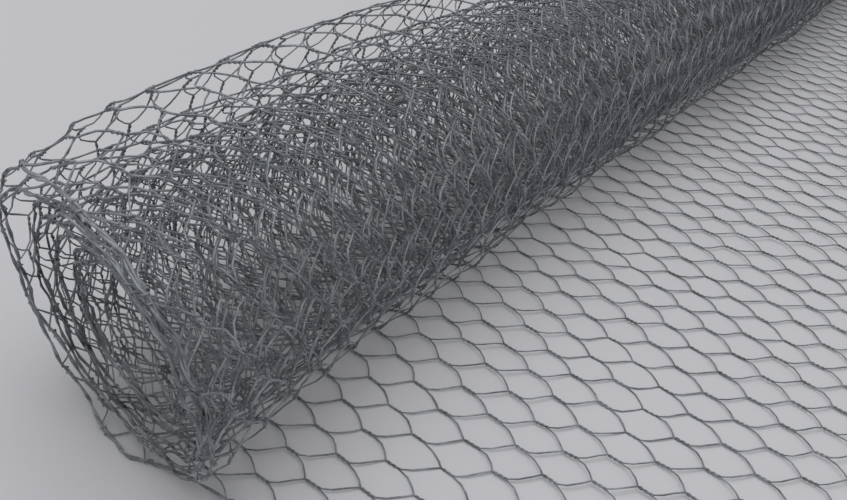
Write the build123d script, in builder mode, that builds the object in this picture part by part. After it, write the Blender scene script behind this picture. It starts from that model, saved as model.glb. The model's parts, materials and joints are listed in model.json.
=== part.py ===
from build123d import *
import math
import os

# Part-used roll of galvanised hexagonal wire netting. It lies on its side with its outer end
# unrolled flat beside it, and its turns show on both ends. All sizes are in millimetres.
# X runs along the roll, -Y towards the free end and Z up. The origin is on the floor, under
# the middle of the whole piece.

# The netting: twists stand in staggered rows, and each sends two bars to the next row
mesh_width = 25.0  # between twists, across the sheet
row_pitch = 20.4  # between rows of twists, along the sheet
twist_length = 8.5
wire = 0.9
selvage_wire = 1.2
columns = 48  # meshes across the sheet
free_rows = 16  # rows of twists lying open, an even number

# The wound roll
roll_radius = 75.0
bore_radius = 28.0
turns = 9
end_gap_depth = 12.0  # how deep the gaps between turns show at each end
creep = 20.0  # how far the turns have slid along the roll, past the free end's edge

# The free end is three panels, which meet between the two wires of a twist
panels = ("near", "middle", "far")

# Worked out from the sizes above
sheet = 2 * wire  # the sheet is as thick as a twist of two wires
sheet_width = columns * mesh_width
panel_columns = columns // len(panels)
panel_width = panel_columns * mesh_width
root = row_pitch  # the strip under the roll, where the sheet leaves it
free_length = free_rows * row_pitch
depth = roll_radius + root + free_length
roll_y = depth / 2 - roll_radius
roll_x = -creep / 2
free_x = creep / 2
root_y = roll_y - root

# Two centres half a pitch apart turn half rings of equal spacing into one spiral
pitch = (roll_radius - bore_radius - sheet) / turns
half_turns = (
    (roll_radius, roll_radius, -180),  # behind: from the floor up to the top
    (roll_radius + pitch / 2, roll_radius - pitch / 2, 180),  # in front: down to the next turn
)

# The opening of one mesh: straight sides along its twists, a point under each twist it faces
slope = (row_pitch - twist_length) / (mesh_width / 2)
bar_drop = wire / 2 * math.hypot(1, slope)
open_x = (mesh_width - sheet) / 2
open_y = twist_length / 2 + slope * sheet / 2 - bar_drop
open_tip = row_pitch - twist_length / 2 - bar_drop
mesh_corners = (
    (open_x, -open_y),
    (open_x, open_y),
    (0, open_tip),
    (-open_x, open_y),
    (-open_x, -open_y),
    (0, -open_tip),
)

os.makedirs("parts", exist_ok=True)

# The wound roll: one round ring, turned about its bore
with BuildPart() as wound_roll:
    with BuildSketch(Plane((roll_x, roll_y, roll_radius), (1, 0, 0), (0, -1, 0))):
        with Locations((0, bore_radius)):
            Rectangle(sheet_width, roll_radius - bore_radius, align=(Align.CENTER, Align.MIN))
    revolve(axis=Axis((roll_x, roll_y, roll_radius), (1, 0, 0)))
    # The gaps between its turns, cut into both ends by half rings about their own centres
    for centre_z, outer, arc in half_turns:
        with BuildSketch(Plane((roll_x, roll_y, centre_z), (1, 0, 0), (0, -1, 0))):
            gaps = [
                (end * sheet_width / 2, outer - sheet - turn * pitch)
                for end in (-1, 1)
                for turn in range(turns - 1)
            ]
            with Locations(*gaps):
                Rectangle(2 * end_gap_depth, pitch - sheet, align=(Align.CENTER, Align.MAX))
        revolve(
            axis=Axis((roll_x, roll_y, centre_z), (1, 0, 0)), revolution_arc=arc, mode=Mode.SUBTRACT
        )
    # The strip of sheet that leaves the roll along the floor
    with BuildSketch(Plane((free_x, roll_y, 0))):
        Rectangle(sheet_width, root, align=(Align.CENTER, Align.MAX))
    extrude(amount=sheet)
wound_roll.part.label = "wound_roll"
export_step(wound_roll.part, "parts/wound_roll.step")

# The free end: a panel of netting at a time, with a selvage along each outer side
for place, name in enumerate(panels):
    panel_x = free_x + (place - (len(panels) - 1) / 2) * panel_width
    panel_y = root_y - free_length / 2
    selvage_sides = [side for side, end in ((-1, 0), (1, len(panels) - 1)) if place == end]
    with BuildPart() as free_end:
        with BuildSketch(Plane((panel_x, panel_y, 0))):
            Rectangle(panel_width, free_length)
            with GridLocations(mesh_width, 2 * row_pitch, panel_columns, free_rows // 2 + 1):
                Polygon(*mesh_corners, mode=Mode.SUBTRACT)
            with GridLocations(mesh_width, 2 * row_pitch, panel_columns + 1, free_rows // 2):
                Polygon(*mesh_corners, mode=Mode.SUBTRACT)
            for side in selvage_sides:
                with Locations((side * (panel_width / 2 - selvage_wire), 0)):
                    Rectangle(2 * selvage_wire, free_length)
        extrude(amount=sheet)
    free_end.part.label = f"free_end_{name}"
    export_step(free_end.part, f"parts/free_end_{name}.step")
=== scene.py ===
import bpy
import bmesh
import json
import math
import random
from mathutils import Matrix, Vector

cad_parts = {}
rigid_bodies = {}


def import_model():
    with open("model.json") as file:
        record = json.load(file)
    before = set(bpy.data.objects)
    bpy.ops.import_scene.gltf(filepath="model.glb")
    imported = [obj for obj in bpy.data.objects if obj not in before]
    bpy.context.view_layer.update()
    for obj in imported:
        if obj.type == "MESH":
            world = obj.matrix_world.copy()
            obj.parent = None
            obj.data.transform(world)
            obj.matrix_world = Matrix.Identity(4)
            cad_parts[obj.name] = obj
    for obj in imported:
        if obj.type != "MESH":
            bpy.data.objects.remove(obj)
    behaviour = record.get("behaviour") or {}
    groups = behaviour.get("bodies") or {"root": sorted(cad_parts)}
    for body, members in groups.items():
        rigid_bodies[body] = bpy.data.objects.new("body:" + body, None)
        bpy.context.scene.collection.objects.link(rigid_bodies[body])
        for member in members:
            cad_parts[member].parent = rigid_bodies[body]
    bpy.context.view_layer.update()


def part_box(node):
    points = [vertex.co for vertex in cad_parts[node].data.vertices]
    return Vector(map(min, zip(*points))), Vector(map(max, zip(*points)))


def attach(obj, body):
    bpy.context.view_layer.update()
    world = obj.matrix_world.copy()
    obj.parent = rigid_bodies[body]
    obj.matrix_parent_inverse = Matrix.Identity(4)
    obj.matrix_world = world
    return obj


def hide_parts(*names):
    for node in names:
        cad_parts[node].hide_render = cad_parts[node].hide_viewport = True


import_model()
print("frame loaded")


# Small helpers

def linearColour(hexText):
    # sRGB hex to the linear numbers that a socket takes
    parts = [int(hexText[i:i + 2], 16) / 255 for i in (1, 3, 5)]
    linear = [c / 12.92 if c <= 0.04045 else ((c + 0.055) / 1.055) ** 2.4 for c in parts]
    return (*linear, 1.0)


def addNode(tree, kind, *values, **settings):
    # one node with its settings. Its sockets take values or links, in their own order or by the
    # names in a dictionary, and a node that is given as a value is linked by its first output.
    node = tree.nodes.new(kind)
    for name, value in settings.items():
        setattr(node, name, value)
    named = values[0] if values and isinstance(values[0], dict) else dict(enumerate(values))
    for socket, value in named.items():
        if isinstance(value, bpy.types.Node):
            value = value.outputs[0]
        if isinstance(value, bpy.types.NodeSocket):
            tree.links.new(value, node.inputs[socket])
        else:
            node.inputs[socket].default_value = value
    return node


# Camera and light

cameraSpot = {
    "location": (-0.8865, -0.1585, 0.3463),
    "forward": (0.779682, 0.393187, -0.487338),
    "up": (0.345598, 0.378796, 0.858531),
    "lens": 49.6,
    "sensorWidth": 36.0,
    "clipStart": 0.01,
}
cameraData = bpy.data.cameras.new("camera")
cameraData.lens = cameraSpot["lens"]
cameraData.sensor_width = cameraSpot["sensorWidth"]
cameraData.clip_start = cameraSpot["clipStart"]
camera = bpy.data.objects.new("camera", cameraData)
bpy.context.scene.collection.objects.link(camera)
lookForward = Vector(cameraSpot["forward"]).normalized()
lookUp = Vector(cameraSpot["up"]).normalized()
lookRight = lookForward.cross(lookUp).normalized()
cameraTurn = Matrix((lookRight, lookRight.cross(lookForward), -lookForward)).transposed()
camera.matrix_world = Matrix.Translation(cameraSpot["location"]) @ cameraTurn.to_4x4()
bpy.context.scene.camera = camera
bpy.context.scene.view_settings.view_transform = "Standard"

studio = {
    "floor": "#c7c7cb",
    "floorRoughness": 0.9,
    "floorReach": 6.0,  # from the middle to each side
    "backdrop": "#bfbfc3",
    "sky": "#ffffff",  # the even light from all round
    "skyStrength": 0.57,
    "softbox": {"energy": 52.0, "size": 3.2, "from": (-0.9, 0.3, 3.3), "to": (0.0, 0.0, 0.05)},
}
softData = bpy.data.lights.new("softbox", "AREA")
softData.shape = "SQUARE"
softData.size = studio["softbox"]["size"]
softData.energy = studio["softbox"]["energy"]
softbox = bpy.data.objects.new("softbox", softData)
softbox.location = studio["softbox"]["from"]
aim = Vector(studio["softbox"]["to"]) - Vector(studio["softbox"]["from"])
softbox.rotation_euler = aim.to_track_quat("-Z", "Y").to_euler()
bpy.context.scene.collection.objects.link(softbox)

world = bpy.data.worlds.new("studioWorld")
bpy.context.scene.world = world
world.use_nodes = True
world.node_tree.nodes.clear()
lightPath = addNode(world.node_tree, "ShaderNodeLightPath")
evenSky = addNode(
    world.node_tree,
    "ShaderNodeBackground",
    {"Color": linearColour(studio["sky"]), "Strength": studio["skyStrength"]},
)
shownSky = addNode(
    world.node_tree,
    "ShaderNodeBackground",
    {"Color": linearColour(studio["backdrop"]), "Strength": 1.0},
)
skyMix = addNode(
    world.node_tree,
    "ShaderNodeMixShader",
    lightPath.outputs["Is Camera Ray"],
    evenSky,
    shownSky,
)
addNode(world.node_tree, "ShaderNodeOutputWorld", {"Surface": skyMix})

# painted board: matt, so it takes only a soft shadow
floorMaterial = bpy.data.materials.new("matt_painted_board")
floorMaterial.use_nodes = True
floorShader = floorMaterial.node_tree.nodes["Principled BSDF"]
floorShader.inputs["Base Color"].default_value = linearColour(studio["floor"])
floorShader.inputs["Roughness"].default_value = studio["floorRoughness"]
floorMesh = bpy.data.meshes.new("floor")
reach = studio["floorReach"]
floorMesh.from_pydata(
    [(-reach, -reach, 0), (reach, -reach, 0), (reach, reach, 0), (-reach, reach, 0)],
    [],
    [(0, 1, 2, 3)],
)
floorMesh.materials.append(floorMaterial)
floor = bpy.data.objects.new("floor", floorMesh)
bpy.context.scene.collection.objects.link(floor)
print("camera, light and floor made")


# Hot-dip galvanised steel wire

# Zinc from the bath, gone dull outdoors: a blue-grey metal with soft highlights, lighter and
# darker along each wire where the zinc lies thick or has oxidised
galvanised = {
    "pale": "#a0a4a8",
    "dark": "#6c7074",
    "patch": 0.011,  # light and dark stretches of zinc, a centimetre or so
    "patchDetail": 3.0,
    "patchRoughness": 0.6,
    "grain": 0.0016,  # the beads of zinc, drawn coarse enough to show
    "grainDetail": 2.0,
    "grainShare": 0.35,  # how much of the grain is added to the patches
    "toneFrom": 0.5,  # the sum of both that is dark, and the sum that is pale
    "toneTo": 0.85,
    "metallic": 0.55,
    "roughest": 0.82,
    "smoothest": 0.62,
    "roughFrom": 0.4,  # the sum that is roughest, and the sum that is smoothest
    "roughTo": 0.9,
    "bump": 0.25,
    "bumpDepth": 0.0002,
}


def galvanisedWire(name, g):
    material = bpy.data.materials.new(name)
    material.use_nodes = True
    tree = material.node_tree
    shader = tree.nodes["Principled BSDF"]
    place = addNode(tree, "ShaderNodeTexCoord").outputs["Object"]
    patches = addNode(
        tree,
        "ShaderNodeTexNoise",
        {
            "Vector": place,
            "Scale": 1 / g["patch"],
            "Detail": g["patchDetail"],
            "Roughness": g["patchRoughness"],
        },
    )
    grain = addNode(
        tree,
        "ShaderNodeTexNoise",
        {"Vector": place, "Scale": 1 / g["grain"], "Detail": g["grainDetail"]},
    )
    both = addNode(
        tree, "ShaderNodeMath", grain, g["grainShare"], patches, operation="MULTIPLY_ADD"
    )
    tone = addNode(
        tree,
        "ShaderNodeMapRange",
        {"Value": both, "From Min": g["toneFrom"], "From Max": g["toneTo"]},
    )
    colour = addNode(
        tree,
        "ShaderNodeMix",
        {0: tone, 6: linearColour(g["dark"]), 7: linearColour(g["pale"])},
        data_type="RGBA",
    )
    tree.links.new(colour.outputs[2], shader.inputs["Base Color"])
    rough = addNode(
        tree,
        "ShaderNodeMapRange",
        {
            "Value": both,
            "From Min": g["roughFrom"],
            "From Max": g["roughTo"],
            "To Min": g["roughest"],
            "To Max": g["smoothest"],
        },
    )
    tree.links.new(rough.outputs[0], shader.inputs["Roughness"])
    beads = addNode(
        tree,
        "ShaderNodeBump",
        {"Height": grain, "Strength": g["bump"], "Distance": g["bumpDepth"]},
    )
    tree.links.new(beads.outputs[0], shader.inputs["Normal"])
    shader.inputs["Metallic"].default_value = g["metallic"]
    return material


wireMaterial = galvanisedWire("hot_dip_galvanised_steel_wire", galvanised)
print("wire material made")


# The cells that the netting is made of

# A cell lies flat at the origin: X across the sheet, Y along it towards the core, Z out of it.
# It is one twist of two wires, and the stretch of each wire up to the next row of twists.
netting = {
    # the sheet
    "meshWidth": 0.025,
    "rowPitch": 0.0204,
    "columns": 48,
    "rowOffset": -0.134,  # where row 0 stands from the line on which the roll touches the floor
    "freeEdge": -0.3425,  # from that line too, as the next
    "coreEdge": 3.0,
    "sideOffset": -0.0025,  # of the whole sheet along the roll
    "skew": math.radians(1.89),  # the rows don't run quite true to the roll
    "skewStop": 0.0155,  # how far the skew carries the sheet along the roll in its first turn
    # a twist, and the wires that leave it
    "wire": 0.00086,
    "cornerTurn": 0.25,  # how far the wires' corners are turned on, in sides
    "twistLength": 0.0085,
    "twistTurns": 1.5,
    "twistGap": 1.13,  # from a twist's middle to its wires', in their radii
    "lean": 0.16,  # the twists lean a little out of line
    "leaveWay": (0.82, 0.57),  # outwards and on, as a wire leaves its twist
    "leaveReach": 0.0026,  # how far that way carries it
    "arriveReach": {-1: 0.0034, 1: 0.0052},  # and the next twist's way, on each side
    "swing": 0.0006,  # how much those two differ from cell to cell
    "bow": (0.0002, 0.0012),  # how far a wire arches out of the sheet
    # a selvage: two wires loosely twisted, and the mesh wire that wraps them
    "edgeBow": (0.0002, 0.001),
    "selvageWire": 0.001,
    "selvageTurns": 1.5,  # from one knot to the next
    "selvageGap": 1.08,  # as the twist's
    "knotRadius": 0.0014,
    "knotTurns": 2,
    # the sheet as it lies: on the floor, in the roll, and what is added at the roll's near end
    "lift": (0.0016, 0.0012),  # above the path that it follows
    "wave": (0.0026, 0.0066, -0.0018),  # how far it is pulled out of line, over a hand's width
    "crumple": (0.0012, 0.0015, 0.0027),  # and over a mesh
    "waveScale": 11.0,
    "crumpleScale": 42.0,
    "outOfPlane": 0.7,  # of both, beside what they do in the sheet's own plane
    "floorGap": 0.0003,  # between the floor and the lowest wires
    "floorBlend": 0.001,
    "mergeGap": 0.00003,  # between the ends of wires that meet
    "variants": 4,
    "seed": 7,
}

# the wires have few sides, and are made a little thicker to make up for their flats
cellDetail = {
    "open": {
        "sides": 5,
        "twistSteps": 9,
        "diagonalSteps": 3,
        "selvageSteps": 12,
        "knotSteps": 11,
        "thicken": 1.0,
    },
    "outer": {
        "sides": 4,
        "twistSteps": 7,
        "diagonalSteps": 3,
        "selvageSteps": 8,
        "knotSteps": 9,
        "thicken": 1.1,
    },
    "inner": {
        "sides": 3,
        "twistSteps": 5,
        "diagonalSteps": 2,
        "selvageSteps": 6,
        "knotSteps": 7,
        "thicken": 1.2,
    },
}
twistWay = Vector((netting["lean"], 1, 0)).normalized()
twistReach = netting["wire"] / 2 * netting["twistGap"]
twistFoot = netting["twistLength"] / 2


def bezier(a, b, c, d, t):
    u = 1 - t
    return a * u ** 3 + b * 3 * u * u * t + c * 3 * u * t * t + d * t ** 3


def tubeAlong(points, endTangent, radius, sides):
    # rings of vertices round a path, and the faces between them
    last = len(points) - 1
    vertices, faces = [], []
    for i, point in enumerate(points):
        tangent = endTangent if i in (0, last) else points[i + 1] - points[i - 1]
        tangent = tangent.normalized()
        across = tangent.cross(Vector((0, 0, 1))).normalized()
        out = across.cross(tangent)
        for k in range(sides):
            turn = 2 * math.pi * (k + netting["cornerTurn"]) / sides
            vertices.append(point + radius * (math.cos(turn) * across + math.sin(turn) * out))
    for i in range(last):
        for k in range(sides):
            j = (k + 1) % sides
            faces.append((i * sides + k, i * sides + j, (i + 1) * sides + j, (i + 1) * sides + k))
    return vertices, faces


def cellObject(name, tubes):
    mesh = bpy.data.meshes.new(name)
    vertices, faces = [], []
    for tubeVertices, tubeFaces in tubes:
        start = len(vertices)
        vertices += tubeVertices
        faces += [tuple(v + start for v in face) for face in tubeFaces]
    mesh.from_pydata([tuple(v) for v in vertices], [], faces)
    build = bmesh.new()
    build.from_mesh(mesh)
    bmesh.ops.recalc_face_normals(build, faces=build.faces)
    build.to_mesh(mesh)
    build.free()
    return bpy.data.objects.new(name, mesh)


def diagonal(start, side, steps, bow, swing):
    # from a twist's upper end to the lower end of a twist in the next row
    n = netting
    end = Vector((
        side * n["meshWidth"] / 2 - side * twistReach - n["lean"] * twistFoot,
        n["rowPitch"] - twistFoot,
        0,
    ))
    outwards, on = n["leaveWay"]
    leave = Vector((side * outwards, on, 0)) * (n["leaveReach"] + swing)
    arrive = twistWay * (n["arriveReach"][side] + swing)
    points = []
    for i in range(1, steps + 1):
        t = i / steps
        point = bezier(start, start + leave, end - arrive, end, t)
        point.z += bow * math.sin(math.pi * t)
        points.append(point)
    return points


def plainCell(name, detail, rng):
    n = netting
    steps = detail["twistSteps"]
    tubes = []
    for side in (-1, 1):  # the side that the wire leaves to; it comes in from the other
        points = []
        for i in range(steps + 1):
            t = i / steps
            turn = 2 * math.pi * n["twistTurns"] * t
            y = (t - 0.5) * n["twistLength"]
            points.append(Vector((
                -side * twistReach * math.cos(turn) + n["lean"] * y,
                y,
                -side * twistReach * math.sin(turn),
            )))
        bow = rng.uniform(*n["bow"])
        swing = rng.uniform(-n["swing"], n["swing"])
        points += diagonal(points[-1], side, detail["diagonalSteps"], bow, swing)
        radius = n["wire"] / 2 * detail["thicken"]
        tubes.append(tubeAlong(points, twistWay, radius, detail["sides"]))
    return cellObject(name, tubes)


def edgeCell(name, side, detail, rng):
    # side is the way that the mesh lies from this selvage
    n = netting
    steps = detail["selvageSteps"]
    spread = n["selvageWire"] / 2 * n["selvageGap"]
    tubes = []
    for phase in (0, math.pi):
        points = []
        for i in range(steps + 1):
            t = i / steps
            turn = phase + 2 * math.pi * n["selvageTurns"] * t
            points.append(Vector((
                spread * math.cos(turn),
                (2 * t - 1) * n["rowPitch"],
                spread * math.sin(turn),
            )))
        radius = n["selvageWire"] / 2 * detail["thicken"]
        tubes.append(tubeAlong(points, Vector((0, 1, 0)), radius, detail["sides"]))
    steps = detail["knotSteps"]
    points = []
    for i in range(steps + 1):
        t = i / steps
        atEnd = i in (0, steps)
        reach = 0.0 if atEnd else n["knotRadius"] * math.sin(math.pi * t) ** 0.5
        turn = 2 * math.pi * n["knotTurns"] * t
        y = (t - 0.5) * n["twistLength"]
        x = side * (max(reach, twistReach) * math.cos(turn)) + (n["lean"] * y if atEnd else 0.0)
        points.append(Vector((x, y, reach * math.sin(turn))))
    bow = rng.uniform(*n["edgeBow"])
    points += diagonal(points[-1], side, detail["diagonalSteps"], bow, 0.0)
    radius = n["wire"] / 2 * detail["thicken"]
    tubes.append(tubeAlong(points, twistWay, radius, detail["sides"]))
    return cellObject(name, tubes)


def cellSet(name, detail):
    rng = random.Random(netting["seed"])
    plain = bpy.data.collections.new(name)
    for v in range(netting["variants"]):
        plain.objects.link(plainCell(f"{name}_{v}", detail, rng))
    return {
        "plain": plain,
        "nearEdge": edgeCell(f"{name}_nearEdge", 1, detail, rng),
        "farEdge": edgeCell(f"{name}_farEdge", -1, detail, rng),
    }


cells = {kind: cellSet(f"{kind}Cell", detail) for kind, detail in cellDetail.items()}
print("cells made")


# The path that the sheet follows

# Seen from the roll's near end it lies along the floor up to the roll, then winds in: up the
# back, over the top, down the front. It goes on past the sheet's inner edge.
roll = {
    "height": 0.075,  # of the roll's axis above the floor, which is the CAD roll's radius
    "turns": 9.5,
    "pointsPerTurn": 60,
    "lead": 0.45,  # of the path lying on the floor
    "leadGap": 0.02,  # from the last of its points there to the roll
    # how far each turn is from the axis, in mm. The turns lie close together at the bottom and
    # in front, and are loose on top and behind, where the roll has sprung open.
    "reach": (
        (74.4, 65, 63.5, 62.5, 61.5, 60.5, 52, 40, 36, 34),  # at the bottom
        (78, 73.5, 63, 61.5, 60.5, 59.5, 42, 38, 31, 30),  # low behind
        (73, 68, 56, 52, 49, 46.5, 33.5, 32, 27, 25),  # behind
        (72.3, 65, 56, 51, 47, 43, 34, 31, 27, 25),  # high behind
        (72.5, 65, 58, 50, 44, 39, 33, 29, 24, 20),  # on top
        (72, 67, 62, 57, 52, 48, 42, 38, 33, 28),  # high in front
        (71, 68, 65.5, 63, 61, 58, 53, 48, 43, 38),  # in front
        (73, 69, 67, 65, 63, 60, 53, 46, 40, 35),  # low in front
    ),
    # away from the near end the turns are this much wider, in mm and in the same directions
    "bulge": (0, 0, 0, 3.5, 6, 5.5, 7.5, 9),
    "innerBulge": (1, 0, -2, -6, -6, 1, 6, 7),  # the turns within the outer one
    "bulgeDecay": 0.14,
    # the turns aren't quite round, and have slipped a little along the roll
    "wobble": 0.0011,
    "wobbleWaves": ((1.6, 2.4, 1.0), (3.1, 4.3, 0.6)),  # lowest and highest rate, and size
    "slip": 0.002,
    "slipWaves": ((0.23, 0.41, 1.0), (0.6, 0.9, 1.0)),
    "phase": 6.28,  # a wave starts anywhere up to here
    "easeTurns": 0.3,  # wobble and slip set in over this part of the first turn
    # the near end slants: it stands out most between the top and the front
    "slantMean": -0.0145,
    "slantUp": 0.0235,
    "slantBack": 0.019,
    "slantDecay": 0.3,
    "farSlant": 0.2,  # of the near end's slant
    "recess": 0.012,  # the inner turns end up to this much further in
    "recessTurns": 2.5,
    # near its near end the whole roll bends to the front, by this much and over this length
    "bend": 0.019,
    "bendDecay": 0.08,
    # the sheet's near edge is drawn in where it lies on the floor, and no more where it rolls up
    "edgePull": 0.0085,
    "edgeDecay": 0.03,
    "edgeFrom": -0.05,
    "edgeTo": 0.0,
    # where the sheet passes from its floor values to those in the roll
    "settleFrom": -0.035,
    "settleTo": 0.055,
    "endDecay": 0.1,  # the near end is tangled more than the rest, over this length
    "seed": 3,
}


def guidePath():
    r = roll
    rng = random.Random(r["seed"])

    def drawWaves(kinds):
        return [
            (rng.uniform(slow, fast), rng.uniform(0, r["phase"]), size)
            for slow, fast, size in kinds
        ]

    def swaying(waves, angle):
        return sum(size * math.sin(rate * angle + start) for rate, start, size in waves)

    wobbles = drawWaves(r["wobbleWaves"])
    slips = drawWaves(r["slipWaves"])

    # the values of each turn, in the order in which the path meets them
    parts = len(r["reach"])
    turnsGiven = len(r["reach"][0])
    reaches = [r["reach"][k][turn] / 1000 for turn in range(turnsGiven) for k in range(parts)]
    swells = [
        r["bulge" if turn == 0 else "innerBulge"][k] / 1000
        for turn in range(turnsGiven)
        for k in range(parts)
    ]

    def through(knots, wound):
        # a smooth curve through the values
        k = int(wound * parts)
        t = wound * parts - k
        a, b, c, d = (knots[max(0, k + i)] for i in (-1, 0, 1, 2))
        bent = t * (2 * a - 5 * b + 4 * c - d + t * (3 * b - a - 3 * c + d))
        return b + t * (c - a + bent) / 2

    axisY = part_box("wound_roll")[1][1] - r["height"]
    onFloor = (-r["lead"], -r["leadGap"])
    points = [Vector((0, axisY + y, 0)) for y in onFloor]
    bulges = [0.0] * len(onFloor)
    for i in range(int(r["turns"] * r["pointsPerTurn"]) + 1):
        wound = i / r["pointsPerTurn"]
        angle = 2 * math.pi * wound
        ease = min(1.0, wound / r["easeTurns"])
        radius = through(reaches, wound)
        radius += ease * r["wobble"] * swaying(wobbles, angle)
        slant = r["slantUp"] * math.cos(angle) + r["slantBack"] * math.sin(angle)
        slide = r["slantMean"] + radius / r["height"] * slant
        slide += min(netting["skewStop"], netting["skewStop"] * wound)  # makes up for the skew
        slide += r["recess"] * (1 - math.exp(min(0.0, (1 - wound) / r["recessTurns"])))
        slide += ease * r["slip"] * swaying(slips, angle)
        y = axisY + radius * math.sin(angle)
        z = r["height"] - radius * math.cos(angle)
        points.append(Vector((slide, y, z)))
        bulges.append(through(swells, wound))
    curve = bpy.data.curves.new("guide", "CURVE")
    curve.dimensions = "3D"
    spline = curve.splines.new("POLY")
    spline.points.add(len(points) - 1)
    for point, place, bulge in zip(spline.points, points, bulges):
        point.co = (*place, 1)
        point.tilt = bulge  # read by the node group as what the sheet stands out here
    return bpy.data.objects.new("guide", curve)


guide = guidePath()
bpy.context.scene.collection.objects.link(guide)
print("guide made")


# Geometry Nodes: rows of cells, joined, bent along the guide

nettingInputs = (
    ("Guide", "NodeSocketObject", None),
    ("Cells", "NodeSocketCollection", None),
    ("Near Edge", "NodeSocketObject", None),
    ("Far Edge", "NodeSocketObject", None),
    ("Material", "NodeSocketMaterial", None),
    ("Variants", "NodeSocketInt", netting["variants"]),
    ("Mesh Width", "NodeSocketFloat", netting["meshWidth"]),
    ("Row Pitch", "NodeSocketFloat", netting["rowPitch"]),
    ("Row Offset", "NodeSocketFloat", netting["rowOffset"]),
    ("Sheet Width", "NodeSocketFloat", netting["meshWidth"] * netting["columns"]),
    ("First Row", "NodeSocketInt", 0),
    ("Rows", "NodeSocketInt", 10),
    ("First Column", "NodeSocketInt", 0),
    ("Columns", "NodeSocketInt", netting["columns"] + 1),
    ("Free Edge", "NodeSocketFloat", netting["freeEdge"]),
    ("Core Edge", "NodeSocketFloat", netting["coreEdge"]),
    ("Skew", "NodeSocketFloat", netting["skew"]),
    ("Skew Stop", "NodeSocketFloat", netting["skewStop"]),
    ("Lead", "NodeSocketFloat", roll["lead"]),
    ("Slant Decay", "NodeSocketFloat", roll["slantDecay"]),
    ("Far Slant", "NodeSocketFloat", roll["farSlant"]),
    ("Bend", "NodeSocketFloat", roll["bend"]),
    ("Bend Decay", "NodeSocketFloat", roll["bendDecay"]),
    ("Edge Pull", "NodeSocketFloat", roll["edgePull"]),
    ("Edge Decay", "NodeSocketFloat", roll["edgeDecay"]),
    ("Edge From", "NodeSocketFloat", roll["edgeFrom"]),
    ("Edge To", "NodeSocketFloat", roll["edgeTo"]),
    ("Bulge Decay", "NodeSocketFloat", roll["bulgeDecay"]),
    ("Settle From", "NodeSocketFloat", roll["settleFrom"]),
    ("Settle To", "NodeSocketFloat", roll["settleTo"]),
    ("Floor Lift", "NodeSocketFloat", netting["lift"][0]),
    ("Roll Lift", "NodeSocketFloat", netting["lift"][1]),
    ("Wave Scale", "NodeSocketFloat", netting["waveScale"]),
    ("Floor Wave", "NodeSocketFloat", netting["wave"][0]),
    ("Roll Wave", "NodeSocketFloat", netting["wave"][1]),
    ("End Wave", "NodeSocketFloat", netting["wave"][2]),
    ("Crumple Scale", "NodeSocketFloat", netting["crumpleScale"]),
    ("Floor Crumple", "NodeSocketFloat", netting["crumple"][0]),
    ("Roll Crumple", "NodeSocketFloat", netting["crumple"][1]),
    ("End Crumple", "NodeSocketFloat", netting["crumple"][2]),
    ("End Decay", "NodeSocketFloat", roll["endDecay"]),
    ("Floor Gap", "NodeSocketFloat", netting["floorGap"]),
    ("Seed", "NodeSocketInt", netting["seed"]),
)


def twistSpots(tree, given, runAt):
    # where the twists stand: odd rows have one on each selvage, even rows stand half a mesh in
    index = addNode(tree, "GeometryNodeInputIndex")
    row = addNode(tree, "ShaderNodeMath", index, given["Columns"], operation="DIVIDE")
    row = addNode(tree, "ShaderNodeMath", row, operation="FLOOR")
    before = addNode(tree, "ShaderNodeMath", row, given["Columns"], operation="MULTIPLY")
    column = addNode(tree, "ShaderNodeMath", index, before, operation="SUBTRACT")
    row = addNode(tree, "ShaderNodeMath", row, given["First Row"], operation="ADD")
    column = addNode(tree, "ShaderNodeMath", column, given["First Column"], operation="ADD")
    odd = addNode(tree, "ShaderNodeMath", row, 2.0, operation="FLOORED_MODULO")
    stagger = addNode(tree, "ShaderNodeMath", odd, -0.5, 0.5, operation="MULTIPLY_ADD")
    across = addNode(tree, "ShaderNodeMath", column, stagger, operation="ADD")
    across = addNode(tree, "ShaderNodeMath", across, given["Mesh Width"], operation="MULTIPLY")
    along = addNode(
        tree,
        "ShaderNodeMath",
        row,
        given["Row Pitch"],
        given["Row Offset"],
        operation="MULTIPLY_ADD",
    )
    spot = addNode(tree, "ShaderNodeCombineXYZ", across, along)
    count = addNode(tree, "ShaderNodeMath", given["Rows"], given["Columns"], operation="MULTIPLY")
    spots = addNode(tree, "GeometryNodePoints", {"Count": count, "Position": spot})

    # the half cells past the far selvage go, and what is past the cut edges
    position = addNode(tree, "GeometryNodeInputPosition")
    here = addNode(tree, "ShaderNodeSeparateXYZ", position).outputs
    run = runAt(here)
    width = given["Sheet Width"]
    quarter = addNode(tree, "ShaderNodeMath", given["Mesh Width"], 0.25, operation="MULTIPLY")
    outside = addNode(tree, "ShaderNodeMath", width, quarter, operation="ADD")
    within = addNode(tree, "ShaderNodeMath", width, quarter, operation="SUBTRACT")
    past = addNode(tree, "ShaderNodeMath", here["X"], outside, operation="GREATER_THAN")
    pastFree = addNode(tree, "ShaderNodeMath", run, given["Free Edge"], operation="LESS_THAN")
    pastCore = addNode(tree, "ShaderNodeMath", run, given["Core Edge"], operation="GREATER_THAN")
    for pastCut in (pastFree, pastCore):
        past = addNode(tree, "ShaderNodeMath", past, pastCut, operation="MAXIMUM")
    spots = addNode(
        tree,
        "GeometryNodeDeleteGeometry",
        {"Geometry": spots, "Selection": past},
        domain="POINT",
    )

    onNear = addNode(tree, "ShaderNodeMath", here["X"], quarter, operation="LESS_THAN")
    onFar = addNode(tree, "ShaderNodeMath", here["X"], within, operation="GREATER_THAN")
    onEither = addNode(tree, "ShaderNodeMath", onNear, onFar, operation="MAXIMUM")
    inside = addNode(tree, "ShaderNodeMath", 1.0, onEither, operation="SUBTRACT")
    return spots, inside, onNear, onFar


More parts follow.
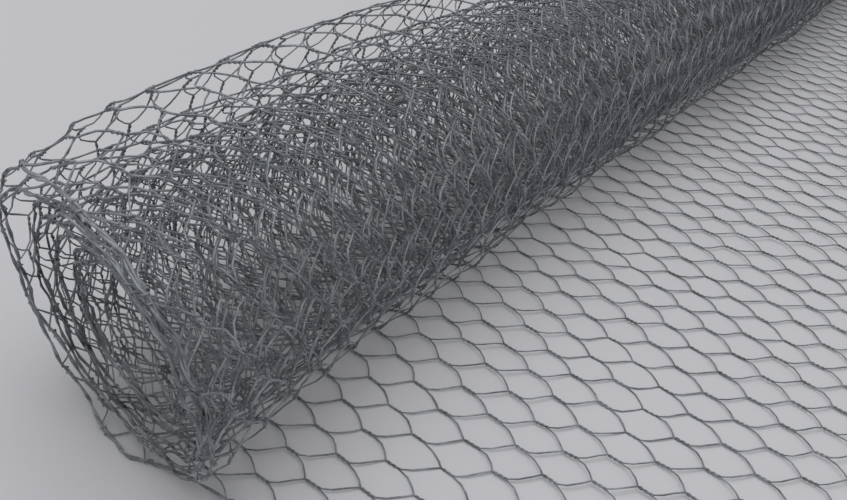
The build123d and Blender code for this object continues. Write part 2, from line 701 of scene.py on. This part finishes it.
def cellsOnSpots(tree, given, spots, inside, onNear, onFar):
    # a cell of any variant on each spot inside, an edge cell on each at a selvage, all joined
    lastVariant = addNode(tree, "ShaderNodeMath", given["Variants"], 1.0, operation="SUBTRACT")
    pick = addNode(tree, "FunctionNodeRandomValue", data_type="INT")
    for socket in pick.inputs:
        if socket.type == "INT" and socket.name == "Max":
            tree.links.new(lastVariant.outputs[0], socket)
        if socket.name == "Seed":
            tree.links.new(given["Seed"], socket)
    picked = [socket for socket in pick.outputs if socket.enabled][0]
    plain = addNode(
        tree,
        "GeometryNodeCollectionInfo",
        {"Collection": given["Cells"], "Separate Children": True, "Reset Children": True},
    )
    placed = [
        addNode(
            tree,
            "GeometryNodeInstanceOnPoints",
            {
                "Points": spots,
                "Selection": inside,
                "Instance": plain,
                "Pick Instance": True,
                "Instance Index": picked,
            },
        )
    ]
    for name, chosen in (("Near Edge", onNear), ("Far Edge", onFar)):
        edge = addNode(tree, "GeometryNodeObjectInfo", {"Object": given[name]})
        placed.append(
            addNode(
                tree,
                "GeometryNodeInstanceOnPoints",
                {"Points": spots, "Selection": chosen, "Instance": edge.outputs["Geometry"]},
            )
        )
    together = addNode(tree, "GeometryNodeJoinGeometry")
    for part in placed:
        tree.links.new(part.outputs[0], together.inputs[0])
    flat = addNode(tree, "GeometryNodeRealizeInstances", together)
    return addNode(
        tree,
        "GeometryNodeMergeByDistance",
        {"Geometry": flat, "Distance": netting["mergeGap"]},
    )


def nettingTree():
    tree = bpy.data.node_groups.new("hexNetting", "GeometryNodeTree")
    for name, kind, value in nettingInputs:
        socket = tree.interface.new_socket(name, in_out="INPUT", socket_type=kind)
        if value is not None:
            socket.default_value = value
    tree.interface.new_socket("Geometry", in_out="OUTPUT", socket_type="NodeSocketGeometry")
    given = addNode(tree, "NodeGroupInput").outputs
    sine = addNode(tree, "ShaderNodeMath", given["Skew"], operation="SINE")
    cosine = addNode(tree, "ShaderNodeMath", given["Skew"], operation="COSINE")

    def runAt(place):
        # how far along the guide a place on the skewed sheet is
        along = addNode(tree, "ShaderNodeMath", place["Y"], cosine, operation="MULTIPLY")
        return addNode(tree, "ShaderNodeMath", place["X"], sine, along, operation="MULTIPLY_ADD")

    flat = cellsOnSpots(tree, given, *twistSpots(tree, given, runAt))

    # some values change where the sheet passes from the floor into the roll
    position = addNode(tree, "GeometryNodeInputPosition")
    laid = addNode(tree, "ShaderNodeSeparateXYZ", position).outputs
    laidRun = runAt(laid)

    def settling(onFloor, inRoll, start=given["Settle From"], stop=given["Settle To"]):
        return addNode(
            tree,
            "ShaderNodeMapRange",
            {
                "Value": laidRun,
                "From Min": start,
                "From Max": stop,
                "To Min": onFloor,
                "To Max": inRoll,
            },
            interpolation_type="SMOOTHSTEP",
        )

    def fading(distance, decay):
        # 1 at an edge of the sheet, less away from it
        fade = addNode(tree, "ShaderNodeMath", distance, -1.0, operation="MULTIPLY")
        fade = addNode(tree, "ShaderNodeMath", fade, given[decay], operation="DIVIDE")
        return addNode(tree, "ShaderNodeMath", fade, operation="EXPONENT")

    # the sheet is pulled about: long waves, and a finer crumple
    atEnd = fading(laid["X"], "End Decay")
    pulled = position
    for kind in ("Wave", "Crumple"):
        scale = given[f"{kind} Scale"]
        noise = addNode(
            tree,
            "ShaderNodeTexNoise",
            {
                "Vector": position,
                "W": addNode(tree, "ShaderNodeMath", given["Seed"], scale, operation="ADD"),
                "Scale": scale,
                "Detail": 1.0,
            },
            noise_dimensions="4D",
            normalize=False,
        )
        ways = addNode(
            tree,
            "ShaderNodeVectorMath",
            noise.outputs["Color"],
            (1.0, 1.0, netting["outOfPlane"]),
            operation="MULTIPLY",
        )
        amount = addNode(
            tree,
            "ShaderNodeMath",
            settling(0.0, given[f"End {kind}"]),
            atEnd,
            settling(given[f"Floor {kind}"], given[f"Roll {kind}"]),
            operation="MULTIPLY_ADD",
        )
        shift = addNode(
            tree, "ShaderNodeVectorMath", {0: ways, "Scale": amount}, operation="SCALE"
        )
        pulled = addNode(tree, "ShaderNodeVectorMath", pulled, shift, operation="ADD")
    place = addNode(tree, "ShaderNodeSeparateXYZ", pulled).outputs

    # where each point of it lies on the guide, and which way is inwards there
    guideCurve = addNode(tree, "GeometryNodeObjectInfo", {"Object": given["Guide"]})
    sample = addNode(
        tree,
        "GeometryNodeSampleCurve",
        {
            "Curves": guideCurve.outputs["Geometry"],
            "Length": addNode(
                tree, "ShaderNodeMath", runAt(place), given["Lead"], operation="ADD"
            ),
            "Value": addNode(tree, "GeometryNodeInputCurveTilt"),
        },
        mode="LENGTH",
        use_all_curves=False,
    ).outputs
    onGuide = addNode(tree, "ShaderNodeSeparateXYZ", sample["Position"]).outputs
    heading = addNode(
        tree, "ShaderNodeVectorMath", sample["Tangent"], (0.0, 1.0, 1.0), operation="MULTIPLY"
    )
    heading = addNode(tree, "ShaderNodeVectorMath", heading, operation="NORMALIZE")
    inwards = addNode(
        tree, "ShaderNodeVectorMath", (1.0, 0.0, 0.0), heading, operation="CROSS_PRODUCT"
    )
    inwards = addNode(tree, "ShaderNodeSeparateXYZ", inwards).outputs

    # along the roll: skewed, slanted at both ends, and drawn in at the near edge on the floor
    drift = addNode(tree, "ShaderNodeMath", place["Y"], sine, operation="MULTIPLY")
    drift = addNode(tree, "ShaderNodeMath", drift, given["Skew Stop"], operation="MINIMUM")
    side = addNode(tree, "ShaderNodeMath", place["X"], cosine, operation="MULTIPLY")
    side = addNode(tree, "ShaderNodeMath", side, drift, operation="SUBTRACT")
    width = given["Sheet Width"]
    fromFar = addNode(tree, "ShaderNodeMath", width, place["X"], operation="SUBTRACT")
    farPull = fading(fromFar, "Slant Decay")
    farPull = addNode(tree, "ShaderNodeMath", farPull, given["Far Slant"], operation="MULTIPLY")
    nearPull = fading(place["X"], "Slant Decay")
    slanted = addNode(tree, "ShaderNodeMath", nearPull, farPull, operation="ADD")
    edgePull = fading(place["X"], "Edge Decay")
    edgeHeld = settling(given["Edge Pull"], 0.0, given["Edge From"], given["Edge To"])
    edgePull = addNode(tree, "ShaderNodeMath", edgePull, edgeHeld, operation="MULTIPLY")
    newX = addNode(tree, "ShaderNodeMath", onGuide["X"], slanted, side, operation="MULTIPLY_ADD")
    newX = addNode(tree, "ShaderNodeMath", newX, edgePull, operation="ADD")

    # across it: lifted off the guide, bulging away from the near end, bent to the front there
    lift = settling(given["Floor Lift"], given["Roll Lift"])
    lift = addNode(tree, "ShaderNodeMath", place["Z"], lift, operation="ADD")
    tight = fading(place["X"], "Bulge Decay")
    tight = addNode(tree, "ShaderNodeMath", tight, 1.0, operation="SUBTRACT")
    lift = addNode(tree, "ShaderNodeMath", sample["Value"], tight, lift, operation="MULTIPLY_ADD")
    bend = fading(place["X"], "Bend Decay")
    bendHere = settling(0.0, given["Bend"])
    bend = addNode(tree, "ShaderNodeMath", bend, bendHere, operation="MULTIPLY")
    newY, newZ = [
        addNode(tree, "ShaderNodeMath", inwards[way], lift, onGuide[way], operation="MULTIPLY_ADD")
        for way in ("Y", "Z")
    ]
    newY = addNode(tree, "ShaderNodeMath", newY, bend, operation="SUBTRACT")
    newZ = addNode(
        tree,
        "ShaderNodeMath",
        newZ,
        given["Floor Gap"],
        netting["floorBlend"],
        operation="SMOOTH_MAX",
    )
    bent = addNode(tree, "ShaderNodeCombineXYZ", newX, newY, newZ)
    wound = addNode(tree, "GeometryNodeSetPosition", {"Geometry": flat, "Position": bent})
    smooth = addNode(tree, "GeometryNodeSetShadeSmooth", {"Geometry": wound})
    painted = addNode(
        tree, "GeometryNodeSetMaterial", {"Geometry": smooth, "Material": given["Material"]}
    )
    addNode(tree, "NodeGroupOutput", painted)
    return tree


hexNetting = nettingTree()
print("node group made")


# The pieces: three of the open end and five of the roll

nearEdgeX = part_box("free_end_near")[0][0]


def nettingPiece(name, cellKind, rows, columns):
    piece = bpy.data.objects.new(name, bpy.data.meshes.new(name))
    bpy.context.scene.collection.objects.link(piece)
    modifier = piece.modifiers.new("hexNetting", "NODES")
    modifier.node_group = hexNetting
    values = {
        "Guide": guide,
        "Cells": cells[cellKind]["plain"],
        "Near Edge": cells[cellKind]["nearEdge"],
        "Far Edge": cells[cellKind]["farEdge"],
        "Material": wireMaterial,
        "First Row": rows[0],
        "Rows": rows[1] - rows[0] + 1,
        "First Column": columns[0],
        "Columns": columns[1] - columns[0] + 1,
    }
    for item in hexNetting.interface.items_tree:
        if item.in_out == "INPUT" and item.name in values:
            modifier[item.identifier] = values[item.name]
    depsgraph = bpy.context.evaluated_depsgraph_get()
    evaluated = piece.evaluated_get(depsgraph)
    mesh = bpy.data.meshes.new_from_object(evaluated, depsgraph=depsgraph)
    piece.modifiers.remove(modifier)
    build = bmesh.new()
    build.from_mesh(mesh)
    offset = (nearEdgeX + netting["sideOffset"], 0, 0)
    bmesh.ops.translate(build, vec=offset, verts=build.verts)
    wireSides = cellDetail[cellKind]["sides"]
    bmesh.ops.holes_fill(build, edges=build.edges, sides=wireSides)  # the cut ends of the wires
    build.to_mesh(mesh)
    build.free()
    piece.data = mesh
    triangles = sum(len(polygon.vertices) - 2 for polygon in mesh.polygons)
    print(f"{name}: {triangles} triangles")
    return piece, triangles


# each takes the sheet from its first row of twists to its last, and so with the columns
lastRow = int((netting["coreEdge"] - netting["rowOffset"]) / netting["rowPitch"])
lastColumn = netting["columns"]
total = 0
for name, node, cellKind, rows, columns in (
    ("free_end_netting_near", "free_end_near", "open", (-13, 5), (0, 15)),
    ("free_end_netting_middle", "free_end_middle", "open", (-13, 5), (16, 31)),
    ("free_end_netting_far", "free_end_far", "open", (-13, 5), (32, lastColumn)),
    ("outer_turn", "wound_roll", "outer", (6, 27), (0, lastColumn)),
    ("second_turn", "wound_roll", "outer", (28, 48), (0, lastColumn)),
    ("third_and_fourth_turns", "wound_roll", "inner", (49, 84), (0, lastColumn)),
    ("fifth_and_sixth_turns", "wound_roll", "inner", (85, 116), (0, lastColumn)),
    ("innermost_turns", "wound_roll", "inner", (117, lastRow), (0, lastColumn)),
):
    piece, triangles = nettingPiece(name, cellKind, rows, columns)
    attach(piece, "root")
    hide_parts(node)
    total += triangles
print("netting made:", total, "triangles in all")

bpy.data.objects.remove(guide)
for kind in cells.values():
    for cell in (*kind["plain"].objects, kind["nearEdge"], kind["farEdge"]):
        bpy.data.objects.remove(cell)
    bpy.data.collections.remove(kind["plain"])
